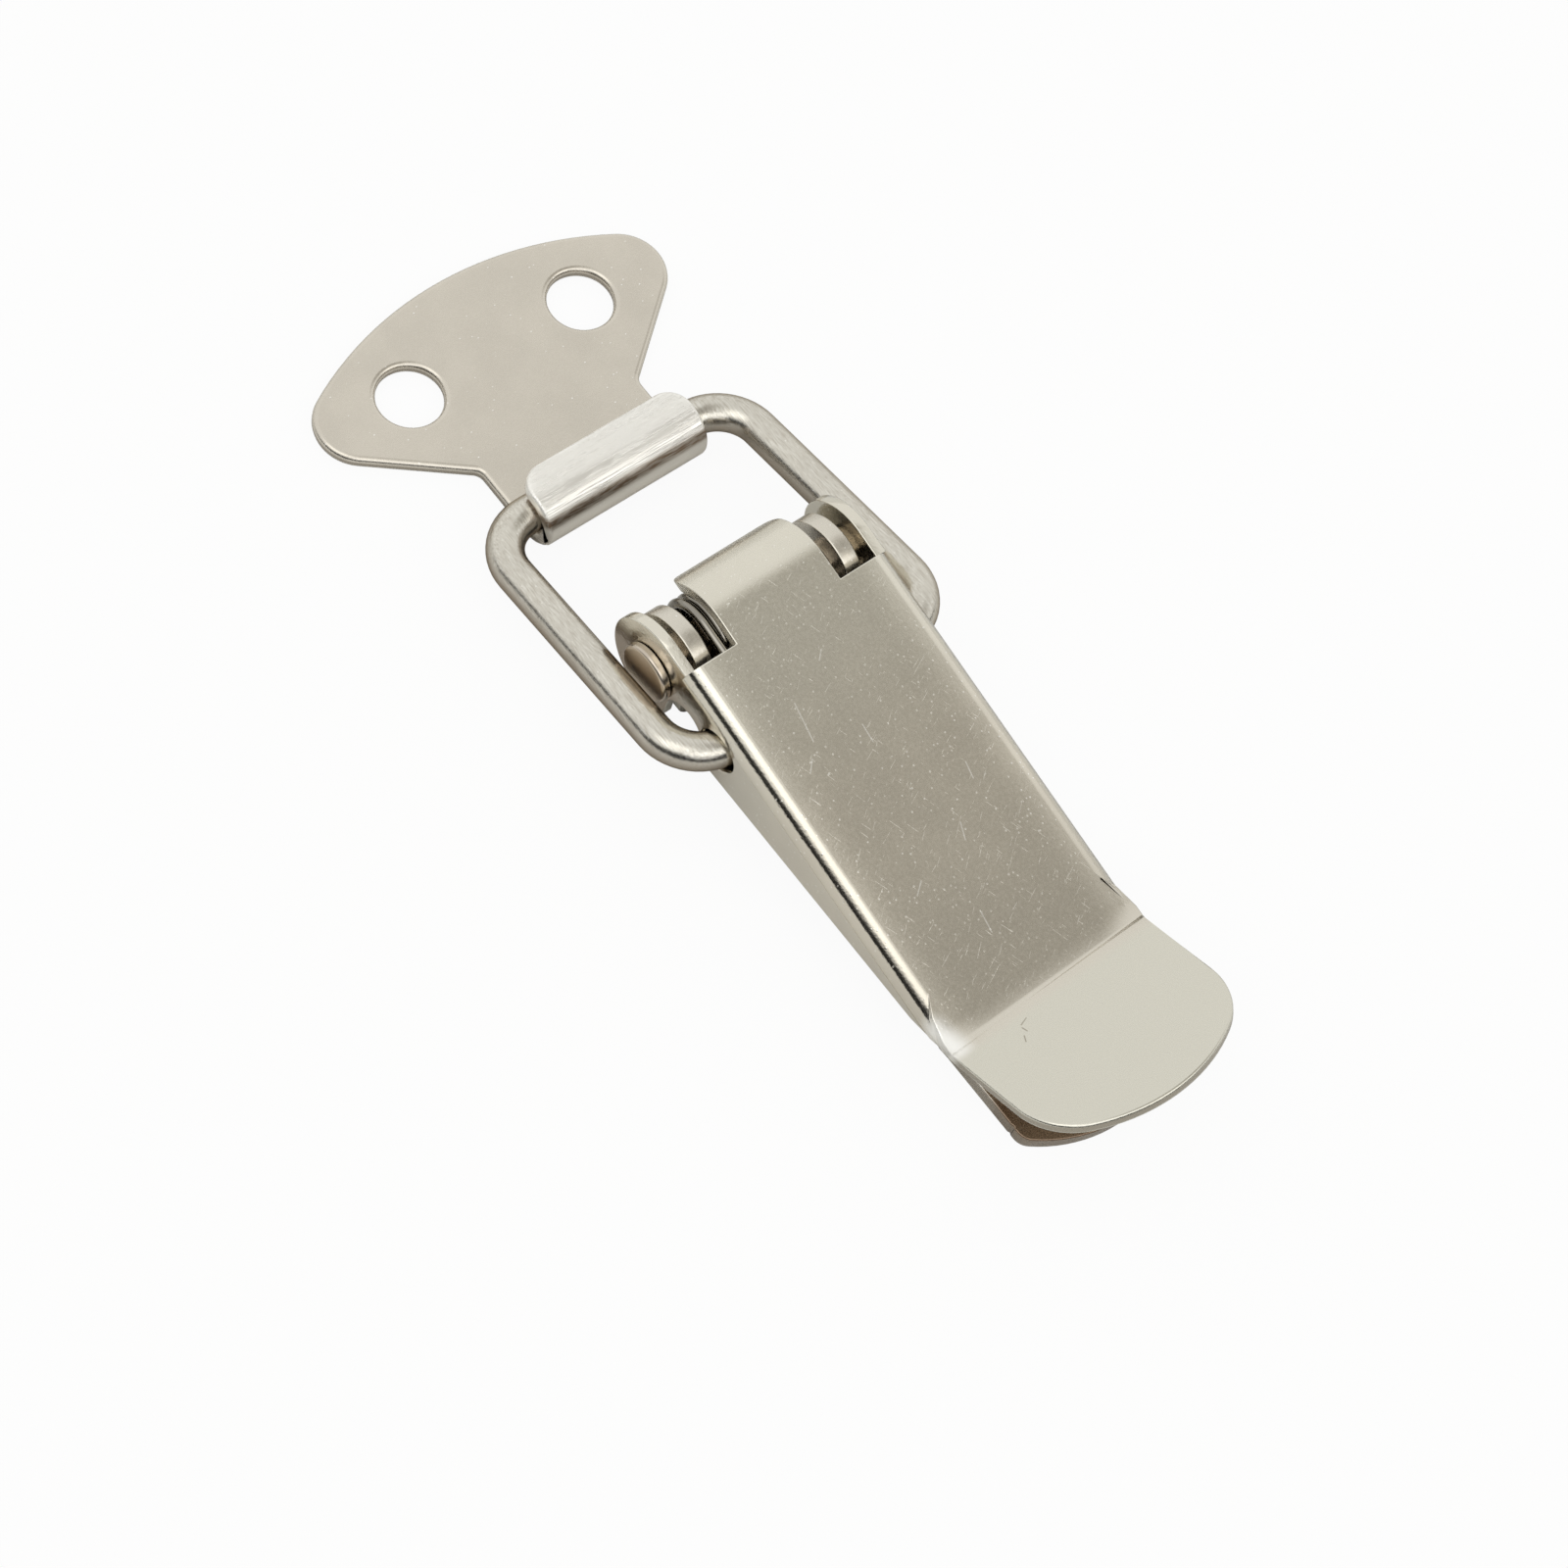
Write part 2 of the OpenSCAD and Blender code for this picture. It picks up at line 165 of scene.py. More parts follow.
# %% [markdown]
# Bare metal has no colour of its own: it shows its surroundings. So the studio
# is drawn in the world: a white tent with a greyer ceiling over the latch, two
# brighter windows, and a dark strip at the horizon, which gives the bends
# their thin dark lines. The strip stands higher on the side of the bail's near
# leg.

# %% Light of the tent
scene = bpy.context.scene
scene.view_settings.view_transform = "Standard"
CEILING = (-0.20, -0.42, 0.88)
CEILING_LIGHT = 0.44
WALL_LIGHT = 0.92
WINDOWS = ((-0.70, -0.30, 0.62), (0.0, 0.56, 0.83))
WINDOW_LIGHT = 0.75
NEAR_LEG_SIDE = (0.8, -0.6, 0)

world = bpy.data.worlds.new("tent")
scene.world = world
world.use_nodes = True
sky = world.node_tree
sky.nodes.clear()
direction = add_node(sky, "ShaderNodeTexCoord").outputs["Generated"]
to_ceiling = toward(sky, direction, CEILING)
ceiling = ramp_between(sky, to_ceiling, 0.84, 0.98, WALL_LIGHT, CEILING_LIGHT)
height = toward(sky, direction, (0, 0, 1))
leaning = times(sky, toward(sky, direction, NEAR_LEG_SIDE), 0.45)
height = math_node(sky, "ADD", height, leaning)
tent = times(sky, ceiling, ramp_between(sky, height, 0.04, 0.30, 0.02, 1.0))
for window in WINDOWS:
    to_window = toward(sky, direction, window)
    glow = ramp_between(sky, to_window, 0.90, 0.985, 0.0, WINDOW_LIGHT)
    tent = math_node(sky, "ADD", tent, glow)
print("tent with", len(WINDOWS), "windows")

# %% [markdown]
# The ceiling is a little warmer than the walls, and tints the tops of the
# pieces. The metal sees this tent, but the camera sees plain white behind the
# latch: the Light Path node tells the two kinds of rays apart.

# %% Tent for the metal, white for the camera
WALL_COLOUR = (1.0, 1.0, 0.975, 1.0)
CEILING_COLOUR = (1.0, 0.97, 0.89, 1.0)
WHITE = (1.0, 1.0, 1.0, 1.0)


def mix_shaders(tree, share, first, second):
    node = add_node(tree, "ShaderNodeMixShader")
    link(tree, share, node.inputs["Fac"])
    link(tree, first.outputs[0], node.inputs[1])
    link(tree, second.outputs[0], node.inputs[2])
    return node.outputs[0]


def seen_by_camera(tree):
    return add_node(tree, "ShaderNodeLightPath").outputs["Is Camera Ray"]


warmth = add_node(sky, "ShaderNodeMix", data_type="RGBA")
link(sky, falls(sky, ceiling, CEILING_LIGHT, WALL_LIGHT), warmth.inputs["Factor"])
warmth.inputs["A"].default_value = WALL_COLOUR
warmth.inputs["B"].default_value = CEILING_COLOUR
lit = add_node(sky, "ShaderNodeBackground")
link(sky, warmth.outputs["Result"], lit.inputs["Color"])
link(sky, tent, lit.inputs["Strength"])
plain = add_node(sky, "ShaderNodeBackground")
plain.inputs["Color"].default_value = WHITE
sky_out = add_node(sky, "ShaderNodeOutputWorld")
link(sky, mix_shaders(sky, seen_by_camera(sky), lit, plain), sky_out.inputs["Surface"])
print("world nodes:", len(sky.nodes))

# %% [markdown]
# The latch lies on white paper. A matt sheet alone would come out grey in its
# shadows, so to the camera most of it glows white, and the matt share that is
# left keeps a faint shadow under the latch.

# %% Paper floor
PAPER = (0.80, 0.80, 0.79, 1.0)
GLOWING_SHARE = 0.93

bpy.ops.mesh.primitive_plane_add(size=0.6, location=(0, 0, -0.02 * MM))
floor = bpy.context.object
floor.name = "floor"
paper = bpy.data.materials.new("white paper")
paper.use_nodes = True
tree = paper.node_tree
tree.nodes.clear()
matt = add_node(tree, "ShaderNodeBsdfDiffuse")
matt.inputs["Color"].default_value = PAPER
white = add_node(tree, "ShaderNodeEmission")
white.inputs["Color"].default_value = WHITE
white.inputs["Strength"].default_value = 1.0
share = times(tree, seen_by_camera(tree), GLOWING_SHARE)
paper_out = add_node(tree, "ShaderNodeOutputMaterial")
link(tree, mix_shaders(tree, share, matt, white), paper_out.inputs["Surface"])
floor.data.materials.append(paper)
print("paper", [round(a / MM) for a in floor.dimensions], "mm")

# %% [markdown]
# One large soft lamp by the tab gives the sheet its gentle change from light
# to dark. It is wide and weak, so that its reflection burns no white spot into
# the flat plate from any side.

# %% Lamp by the tab
def soft_lamp(name, place, size, power):
    data = bpy.data.lights.new(name, "AREA")
    data.shape = "DISK"
    data.size = size
    data.energy = power
    lamp = bpy.data.objects.new(name, data)
    scene.collection.objects.link(lamp)
    lamp.location = place
    lamp.rotation_euler = (-Vector(place)).to_track_quat("-Z", "Y").to_euler()
    return lamp


lamp = soft_lamp("lamp by the tab", (-0.45, 0.25, 0.40), size=0.50, power=0.45)
print(lamp.name, round(lamp.location.length / MM), "mm away")

# %% [markdown]
# Nickel plate on pressed sheet is a satin metal with a fine grain, an uneven
# gloss, and small bright glints where single grains catch the light. The grain
# and the gloss come from noise of several sizes, which can also be stretched
# into streaks. The glints are painted highlights: a few of the cells of a cell
# pattern, each with a soft dot in its middle, painted pale into the colour.

# %% Grain, streaks and glints
def noise(tree, at, scale, detail=2.0, rough=0.5):
    node = add_node(tree, "ShaderNodeTexNoise")
    link(tree, at, node.inputs["Vector"])
    node.inputs["Scale"].default_value = scale
    node.inputs["Detail"].default_value = detail
    node.inputs["Roughness"].default_value = rough
    return node.outputs["Fac"]


def streaks(tree, at, size, turn=0.0):
    """Noise whose blots have this size in mm along X, Y and Z, turned about Z."""
    node = add_node(tree, "ShaderNodeMapping", vector_type="TEXTURE")
    link(tree, at, node.inputs["Vector"])
    node.inputs["Rotation"].default_value = (0, 0, turn)
    node.inputs["Scale"].default_value = Vector(size) * MM
    return noise(tree, node.outputs["Vector"], 1.0, 3.0, 0.6)


def glints(tree, at, size, share):
    """Soft dots in this share of the cells of a pattern of the given size."""
    cells = add_node(tree, "ShaderNodeTexVoronoi")
    link(tree, at, cells.inputs["Vector"])
    cells.inputs["Scale"].default_value = 1.0 / size
    pick = add_node(tree, "ShaderNodeSeparateColor")
    link(tree, cells.outputs["Color"], pick.inputs[0])
    few = rises(tree, pick.outputs[0], 1.0 - share, 1.02 - share)
    dot = falls(tree, cells.outputs["Distance"], 0.10, 0.26)
    return times(tree, few, dot)


print("patterns: noise, streaks, glints")

# %% [markdown]
# Wear, light and cutting leave their marks by shape. Along its edges plated
# sheet is rubbed smooth and bright, and the edges also get a painted highlight.
# A Bevel node finds them: it gives the direction that a rounded surface would
# have, which differs from the real one close to an edge. The faces that the
# press cut through look along the sheet, never across it, so their own
# direction tells them apart.

# %% Worn and highlit edges, and cut faces
def edge_wear_and_highlight(tree, radius):
    """1 where the surface turns within this radius, 0 on flat sheet."""
    soft = add_node(tree, "ShaderNodeBevel", samples=4)
    soft.inputs["Radius"].default_value = radius
    flat = add_node(tree, "ShaderNodeNewGeometry")
    same = add_node(tree, "ShaderNodeVectorMath", operation="DOT_PRODUCT")
    link(tree, soft.outputs[0], same.inputs[0])
    link(tree, flat.outputs["Normal"], same.inputs[1])
    return falls(tree, same.outputs["Value"], 0.80, 0.985)


def cut_faces(tree, flat_side=(0, 0, 1)):
    """1 on the cut faces of a sheet whose flat sides look this way, else 0."""
    normal = add_node(tree, "ShaderNodeNewGeometry").outputs["Normal"]
    across = math_node(tree, "ABSOLUTE", toward(tree, normal, flat_side))
    return falls(tree, across, 0.10, 0.35)


def below(tree, z, top):
    return falls(tree, z, top, top + 0.2 * MM)


print("marks by shape: edge_wear_and_highlight, cut_faces, below")

# %% [markdown]
# All six pieces are nickel plated or bare steel, so they share one way of
# making a metal: a colour, a gloss and a fine relief, over which details are
# laid one by one. A stain changes the colour in a place, a polish its gloss,
# and a raise its relief. At the end all three go into one shader.

# %% One metal, laid in layers
class Nickel:
    """A nickel plated steel. Each call lays one more kind of detail over it."""

    def __init__(self, name, colour, gloss, grain):
        self.metal = bpy.data.materials.new(name)
        self.metal.use_nodes = True
        tree = self.tree = self.metal.node_tree
        self.shader = tree.nodes["Principled BSDF"]
        self.shader.inputs["Metallic"].default_value = 1.0
        self.at = add_node(tree, "ShaderNodeTexCoord").outputs["Object"]
        xyz = add_node(tree, "ShaderNodeSeparateXYZ")
        link(tree, self.at, xyz.inputs[0])
        self.x, self.y, self.z = xyz.outputs
        fine = noise(tree, self.at, 5200.0, 2.0, 0.6)
        cloud = noise(tree, self.at, 260.0, 3.0, 0.55)
        tint = add_node(tree, "ShaderNodeMix", data_type="RGBA", blend_type="MULTIPLY")
        tint.inputs["Factor"].default_value = 1.0
        tint.inputs["A"].default_value = (*colour, 1.0)
        link(tree, ramp_between(tree, cloud, 0.3, 0.7, 0.965, 1.03), tint.inputs["B"])
        self.colour = tint.outputs["Result"]
        self.rough = ramp_between(tree, fine, 0.3, 0.7, gloss * 0.85, gloss * 1.15)
        self.lift = times(tree, fine, 0.006 * MM * grain)

    def stain(self, where, colour, strength=1.0):
        mix = add_node(self.tree, "ShaderNodeMix", data_type="RGBA")
        link(self.tree, times(self.tree, where, strength), mix.inputs["Factor"])
        link(self.tree, self.colour, mix.inputs["A"])
        mix.inputs["B"].default_value = (*colour, 1.0)
        self.colour = mix.outputs["Result"]

    def polish(self, where, gloss):
        elsewhere = math_node(self.tree, "SUBTRACT", 1.0, where)
        kept = times(self.tree, self.rough, elsewhere)
        self.rough = math_node(self.tree, "ADD", kept, times(self.tree, where, gloss))

    def raise_by(self, where, height):
        self.lift = math_node(self.tree, "ADD", self.lift, times(self.tree, where, height))

    def finish(self):
        tree = self.tree
        link(tree, self.colour, self.shader.inputs["Base Color"])
        link(tree, self.rough, self.shader.inputs["Roughness"])
        bump = add_node(tree, "ShaderNodeBump")
        bump.inputs["Strength"].default_value = 1.0
        bump.inputs["Distance"].default_value = 1.0
        link(tree, self.lift, bump.inputs["Height"])
        link(tree, bump.outputs["Normal"], self.shader.inputs["Normal"])
        return self.metal


print("a metal takes:", ", ".join(n for n in vars(Nickel) if not n.startswith("_")))

# %% [markdown]
# The three sheet pieces come out of one plating bath, and differ only a
# little in colour and gloss. Each has the painted glints of its grain, and
# edges that are smoother and paler: worn, and with a painted highlight. On the
# thumb tab the glints are rubbed away, so they fade out past a given place
# along the latch.

# %% Satin nickel of the sheet
SHEET_COLOUR = (0.70, 0.66, 0.585)
EDGE_COLOUR = (0.80, 0.77, 0.71)
PALE = (0.98, 0.96, 0.92)
SCRATCHED = (1.0, 0.98, 0.94)
PAINTED_HIGHLIGHT = (1.0, 0.99, 0.96)
CUT_STEEL_AND_SHADE = (0.34, 0.30, 0.25)
EDGE_REACH = 0.25 * MM
BEYOND_THE_LATCH = -60 * MM


def satin_nickel(
    name,
    gloss,
    grain,
    share,
    colour=SHEET_COLOUR,
    dent=0.005 * MM,
    smooth_past=BEYOND_THE_LATCH,
):
    """The glints fade out on the part of the sheet that lies past the given x."""
    metal = Nickel(name, colour, gloss, grain)
    kept = rises(metal.tree, metal.x, smooth_past, smooth_past + 3 * MM)
    # Painted highlights: the glints are pale dots laid into the colour, with a small raise.
    painted_glints = times(metal.tree, glints(metal.tree, metal.at, 0.29 * MM, share), kept)
    metal.stain(painted_glints, PALE, 0.9)
    metal.raise_by(painted_glints, dent)
    # Paler, smoother edges: wear, and a painted highlight.
    edge = edge_wear_and_highlight(metal.tree, EDGE_REACH)
    metal.stain(edge, EDGE_COLOUR, 0.6)
    metal.polish(edge, 0.11)
    return metal


print("sheet colour", SHEET_COLOUR)

# %% [markdown]
# A scratch is a short line. Its distance is measured in the shader, so it
# needs no picture: the foot of the point on the line is found first, as a
# share of its length from 0 to 1, and then how far the point is off it.

# %% A scratch
def line_mark(tree, at, start, end, width):
    """1 on a short line from start to end in mm, 0 past this width in metres."""
    start, end = Vector(start) * MM, Vector(end) * MM
    along = end - start
    back = add_node(tree, "ShaderNodeVectorMath", operation="SUBTRACT")
    link(tree, at, back.inputs[0])
    back.inputs[1].default_value = start
    dot = add_node(tree, "ShaderNodeVectorMath", operation="DOT_PRODUCT")
    link(tree, back.outputs[0], dot.inputs[0])
    dot.inputs[1].default_value = along / along.length_squared
    share = math_node(tree, "MULTIPLY", dot.outputs["Value"], 1.0, clamp=True)
    foot = add_node(tree, "ShaderNodeVectorMath", operation="SCALE")
    foot.inputs[0].default_value = along
    link(tree, share, foot.inputs["Scale"])
    off = add_node(tree, "ShaderNodeVectorMath", operation="DISTANCE")
    link(tree, back.outputs[0], off.inputs[0])
    link(tree, foot.outputs[0], off.inputs[1])
    return falls(tree, off.outputs["Value"], 0.0, width)


print("a scratch is a distance to a line")

# %% [markdown]
# The strike plate is curled up into a hook. Its side and top are painted paler,
# a painted highlight on the curl, and the side is given a softer gloss. The die
# drags along the top of the curl and leaves long pale scuffs across it. Under
# the scuffs runs a painted brown band, a dark reflection across the curl. The
# cut faces of the flat plate are painted dark: cut steel, with painted shade.

# %% Finish of the strike plate
HOOK_SIDE = (1.5 * MM, 3.6 * MM)
HOOK_TOP = (3.6 * MM, 4.1 * MM)
BAND_FROM = (3.10 * MM, 3.55 * MM)
BAND_TO = (3.75 * MM, 4.10 * MM)
REFLECTION_BROWN = (0.24, 0.165, 0.11)

plate = satin_nickel(
    "satin nickel on the strike plate", 0.27, 0.65, 0.08, colour=(0.685, 0.638, 0.562)
)
tree = plate.tree
# Painted highlight: the side and top of the hook are painted paler.
lit_hook_side = rises(tree, plate.z, *HOOK_SIDE)
hook_top = rises(tree, plate.z, *HOOK_TOP)
plate.stain(lit_hook_side, (0.93, 0.90, 0.84), 0.8)
plate.stain(hook_top, PAINTED_HIGHLIGHT, 0.6)
plate.polish(lit_hook_side, 0.36)
scuff = rises(tree, streaks(tree, plate.at, (0.09, 5, 0.09)), 0.48, 0.66)
scuff = times(tree, scuff, hook_top)
plate.stain(scuff, PALE, 0.8)
plate.raise_by(scuff, 0.016 * MM)
# Painted reflection: a dark brown band across the curl, broken into patches.
dark_reflection_band = times(tree, falls(tree, plate.z, *BAND_TO), rises(tree, plate.z, *BAND_FROM))
patches = streaks(tree, plate.at, (0.12, 1.2, 0.12))
patchy = ramp_between(tree, patches, 0.40, 0.60, 0.6, 1.0)
plate.stain(times(tree, dark_reflection_band, patchy), REFLECTION_BROWN, 0.95)
# Cut faces painted dark: cut steel, with painted shade.
rim = times(tree, cut_faces(tree), below(tree, plate.z, 1.0 * MM))
plate.stain(rim, CUT_STEEL_AND_SHADE, 0.85)
satin_plate = plate.finish()
print(satin_plate.name, len(tree.nodes), "nodes")

# %% [markdown]
# The lever is a channel folded from one sheet. Its roof isn't quite flat: the
# press leaves it a little crowned towards the two bends, and dished where it
# turns up into the thumb tab. Both are far too shallow for the mesh, but a
# smooth metal shows them, so they are added as relief, which grows with the
# square of the distance. The two long bends are rubbed shiny and a little
# coarse by the die.

# %% Relief of the lever
ROOF_FROM = (-31.0 * MM, -28.5 * MM)
BEND = (6.9 * MM, 7.4 * MM)
CROWN_STARTS = 4.3 * MM
CROWN_DROP = -0.034 / MM
CREASE_FROM = -28.2 * MM
CREASE_TO = -30.0 * MM
CREASE_RISE = 0.07 / MM

roof = satin_nickel(
    "satin nickel on the lever",
    0.26,
    0.8,
    0.30,
    colour=(0.71, 0.662, 0.572),
    dent=0.007 * MM,
    smooth_past=-31.5 * MM,
)
tree = roof.tree
off_middle = math_node(tree, "ABSOLUTE", roof.y)
on_roof = rises(tree, roof.x, *ROOF_FROM)
in_bend = rises(tree, off_middle, *BEND)
roof.polish(times(tree, in_bend, on_roof), 0.15)
coarse = noise(tree, roof.at, 3600.0, 2.0, 0.7)
roof.raise_by(times(tree, coarse, in_bend), 0.010 * MM)
past = math_node(tree, "SUBTRACT", off_middle, CROWN_STARTS)
past = math_node(tree, "MAXIMUM", past, 0.0)
roof.raise_by(times(tree, past, past, on_roof), CROWN_DROP)
to_tab = math_node(tree, "SUBTRACT", CREASE_FROM, roof.x)
to_tab = math_node(tree, "MINIMUM", to_tab, CREASE_FROM - CREASE_TO)
to_tab = math_node(tree, "MAXIMUM", to_tab, 0.0)
roof.raise_by(times(tree, to_tab, to_tab), CREASE_RISE)
print("crease rises", round((CREASE_FROM - CREASE_TO) ** 2 * CREASE_RISE / MM, 2), "mm")

# %% [markdown]
# The lever's colour is paler towards the nose and duller towards the tab.
# Beside the rivet, the walls under the ears are painted brown: painted shade and
# reflection there. The middle of the roof carries fine hair scratches in three
# directions.

# %% Tints and hair scratches of the lever
LEVER_WIDTH = 16.2 * MM
DULL = (0.60, 0.56, 0.485)
PAINTED_SHADE_BROWN = (0.38, 0.30, 0.23)
HAIR_TURNS = (0.4, -0.9, 2.0)

near_nose = rises(tree, roof.x, -16.0 * MM, -2.0 * MM)
roof.stain(near_nose, (0.775, 0.75, 0.662), 0.6)
far_end = falls(tree, roof.x, -28.0 * MM, -18.0 * MM)
roof.stain(times(tree, far_end, on_roof), DULL, 0.7)
at_crease = falls(tree, roof.x, -30.2 * MM, -28.4 * MM)
roof.stain(at_crease, SHEET_COLOUR, 0.8)
# Painted shade and reflection: the walls beside the rivet, under the ears, are painted brown.
by_rivet = rises(tree, roof.x, -9.0 * MM, -5.0 * MM)
outside = rises(tree, off_middle, LEVER_WIDTH / 2 - 0.08 * MM, LEVER_WIDTH / 2 - 0.02 * MM)
under_ear_shade = falls(tree, roof.z, 5.0 * MM, 7.4 * MM)
roof.stain(times(tree, by_rivet, outside, under_ear_shade), PAINTED_SHADE_BROWN, 0.85)
flat_roof = times(tree, on_roof, falls(tree, off_middle, 6.6 * MM, 7.2 * MM))
for turn in HAIR_TURNS:
    hair = rises(tree, streaks(tree, roof.at, (1.8, 0.07, 9), turn), 0.685, 0.73)
    hair = times(tree, hair, flat_roof)
    roof.stain(hair, SCRATCHED, 0.5)
    roof.raise_by(hair, 0.003 * MM)
print("lever nodes so far:", len(tree.nodes))

# %% [markdown]
# Eight longer scratches can be told apart on the roof, and they lie where the
# real ones lie. The corner where the near bend meets the tab gets a painted
# white highlight.

# %% Scratches and the painted corner highlight
SCRATCHES = (
    ((-7.55, 3.27, 8.22), (-10.09, 3.70, 7.73)),
    ((-10.80, 0.31, 7.59), (-12.05, 0.39, 7.35)),
    ((-5.67, -0.29, 8.58), (-6.16, 0.24, 8.49)),
    ((-10.94, 4.43, 7.57), (-11.56, 5.06, 7.45)),
    ((-16.11, -4.02, 6.57), (-17.21, -3.81, 6.36)),
    ((-18.99, -1.36, 6.02), (-20.03, -0.95, 5.82)),
    ((-24.01, 0.96, 5.05), (-25.47, 1.14, 4.77)),
    ((-20.58, 3.08, 5.71), (-21.18, 3.86, 5.60)),
)
SCRATCH_WIDTH = 0.06 * MM
HIGHLIGHT_CORNER = ((-28.3, 7.9, 3.9), (-30.2, 7.5, 4.0))
HIGHLIGHT_WIDTH = 1.4 * MM

# Painted highlight: a white stripe where the near bend meets the tab.
corner_highlight = line_mark(tree, roof.at, *HIGHLIGHT_CORNER, HIGHLIGHT_WIDTH)
roof.stain(corner_highlight, PAINTED_HIGHLIGHT, 1.0)
roof.polish(corner_highlight, 0.36)
for start, end in SCRATCHES:
    line = line_mark(tree, roof.at, start, end, SCRATCH_WIDTH)
    roof.stain(line, SCRATCHED, 0.9)
    roof.raise_by(line, 0.006 * MM)
print("scratches:", len(SCRATCHES))

# %% [markdown]
# The thumb tab is tinted one even, cooler grey, with three dark nicks near
# the crease. Its upper edge gets a painted highlight, and its cut faces, which
# look along the tab, are painted dark: cut steel, with painted shade.

# %% Thumb tab
TAB_FROM = (-31.0 * MM, -30.2 * MM)
TAB_COLOUR = (0.692, 0.672, 0.592)
TAB_SIDE = (0.426, 0, 0.905)
TAB_NICKS = (
    ((-30.94, 2.84, 4.34), (-31.12, 3.43, 4.43)),
    ((-31.31, 3.54, 4.52), (-31.66, 3.49, 4.68)),
    ((-31.81, 3.88, 4.75), (-32.19, 4.12, 4.93)),
)
NICK_WIDTH = 0.07 * MM

on_tab = falls(tree, roof.x, *TAB_FROM)
roof.stain(on_tab, TAB_COLOUR, 0.9)
for start, end in TAB_NICKS:
    roof.stain(line_mark(tree, roof.at, start, end, NICK_WIDTH), (0.22, 0.18, 0.13), 0.7)
# Painted highlight along the upper edge of the tab.
tab_edge_highlight = times(tree, edge_wear_and_highlight(tree, EDGE_REACH), on_tab)
roof.stain(tab_edge_highlight, (0.97, 0.96, 0.93), 0.8)
# Tab cut faces painted dark: cut steel, with painted shade.
tab_rim_shade = times(tree, cut_faces(tree, TAB_SIDE), on_tab)
roof.stain(tab_rim_shade, (0.30, 0.26, 0.21), 0.75)
satin_lever = roof.finish()
print(satin_lever.name, len(tree.nodes), "nodes")

# %% [markdown]
# The base lies under the lever. Where its tail sticks out below the thumb tab,
# in the dark, it is painted brown: painted shade under the tab. The edge of this
# painted shade is blotted: noise is added to the place along the base before
# the ramp reads it. Its cut faces are painted dark: cut steel, with painted
# shade.

# %% Finish of the base
UNDER_TAB_SHADE = (0.20, 0.12, 0.07)
UNDER_TAB_SHADE_FROM = (-32.0 * MM, -27.5 * MM)
BLOT_REACH = 7.0 * MM
BASE_SHEET = 1.2 * MM

floor_sheet = satin_nickel("satin nickel on the base", 0.28, 0.8, 0.14)
tree = floor_sheet.tree
# Painted shade: the tail under the thumb tab is painted brown, with a blotted edge.
blots = times(tree, noise(tree, floor_sheet.at, 420.0, 4.0, 0.6), BLOT_REACH)
blotted_x = math_node(tree, "ADD", floor_sheet.x, blots)
floor_sheet.stain(falls(tree, blotted_x, *UNDER_TAB_SHADE_FROM), UNDER_TAB_SHADE, 0.88)
# Cut faces painted dark: cut steel, with painted shade.
rim = times(tree, cut_faces(tree), below(tree, floor_sheet.z, BASE_SHEET))
floor_sheet.stain(rim, CUT_STEEL_AND_SHADE, 0.7)
satin_base = floor_sheet.finish()
print(satin_base.name, len(tree.nodes), "nodes")

# %% [markdown]
# The bail's wire was pulled through a die, so its marks are lines along the
# wire, some darker and some brighter. It is smoother than the sheet, and its
# sides, which are turned away from the light, are darker than its top.

# %% Finish of the bail
LINE_SIZE = (2.5, 0.10, 0.10)
LINE_DARK = (0.46, 0.42, 0.36)
LINE_BRIGHT = (0.86, 0.84, 0.78)
SIDE_DARK = (0.36, 0.31, 0.255)

wire = Nickel("bright nickel on the bail", (0.66, 0.63, 0.565), 0.22, 1.3)
tree = wire.tree
drawn = streaks(tree, wire.at, LINE_SIZE)
wire.stain(rises(tree, drawn, 0.50, 0.68), LINE_DARK, 0.55)
wire.stain(falls(tree, drawn, 0.34, 0.48), LINE_BRIGHT, 0.45)
wire.raise_by(drawn, 0.006 * MM)
# Painted highlights: pale glint dots in the colour of the wire.
wire.stain(glints(tree, wire.at, 0.30 * MM, 0.10), (0.95, 0.93, 0.88), 0.6)
normal = add_node(tree, "ShaderNodeNewGeometry").outputs["Normal"]
upward = toward(tree, normal, (0, 0, 1))
wire.stain(falls(tree, upward, 0.05, 0.75), SIDE_DARK, 0.8)
wire.shader.inputs["Specular Tint"].default_value = (0.50, 0.45, 0.40, 1.0)
bright_wire = wire.finish()
print(bright_wire.name, len(tree.nodes), "nodes")

# %% [markdown]
# The rivet's head is turned, and its flat face is rougher and painted browner:
# a painted reflection of the shade around it. The spring is bare hard steel,
# smoother than the nickel, with almost no grain; it is darker, partly as steel
# and partly as painted shade of the recess it sits in.

# %% Finish of rivet and spring
pin = Nickel("bright nickel on the rivet", (0.58, 0.51, 0.43), 0.20, 0.6)
sideways = math_node(pin.tree, "ABSOLUTE", pin.y)
# Painted reflection and shade: the flat face of the head is painted browner.
face = rises(pin.tree, sideways, 8.65 * MM, 8.74 * MM)
pin.stain(face, (0.60, 0.505, 0.40), 0.9)
pin.polish(face, 0.30)
bright_rivet = pin.finish()
# The spring's dark colour is partly bare steel and partly painted shade of its recess.
spring_steel_and_shade = Nickel("spring wire", (0.32, 0.30, 0.265), 0.14, 0.4).finish()
print("finishes:", len(bpy.data.materials))

# %% [markdown]
# Stamped sheet has soft edges: the punch pulls the skin of the metal down, and
# leaves a small round all along the rim. The construction model has sharp
# edges, and its mesh is made of loose triangles. So each sheet piece is copied,
# its triangles are joined, and flat areas are made one face each.

# %% Copy and join a sheet
def only(obj):
    bpy.ops.object.select_all(action="DESELECT")
    obj.select_set(True)
    bpy.context.view_layer.objects.active = obj


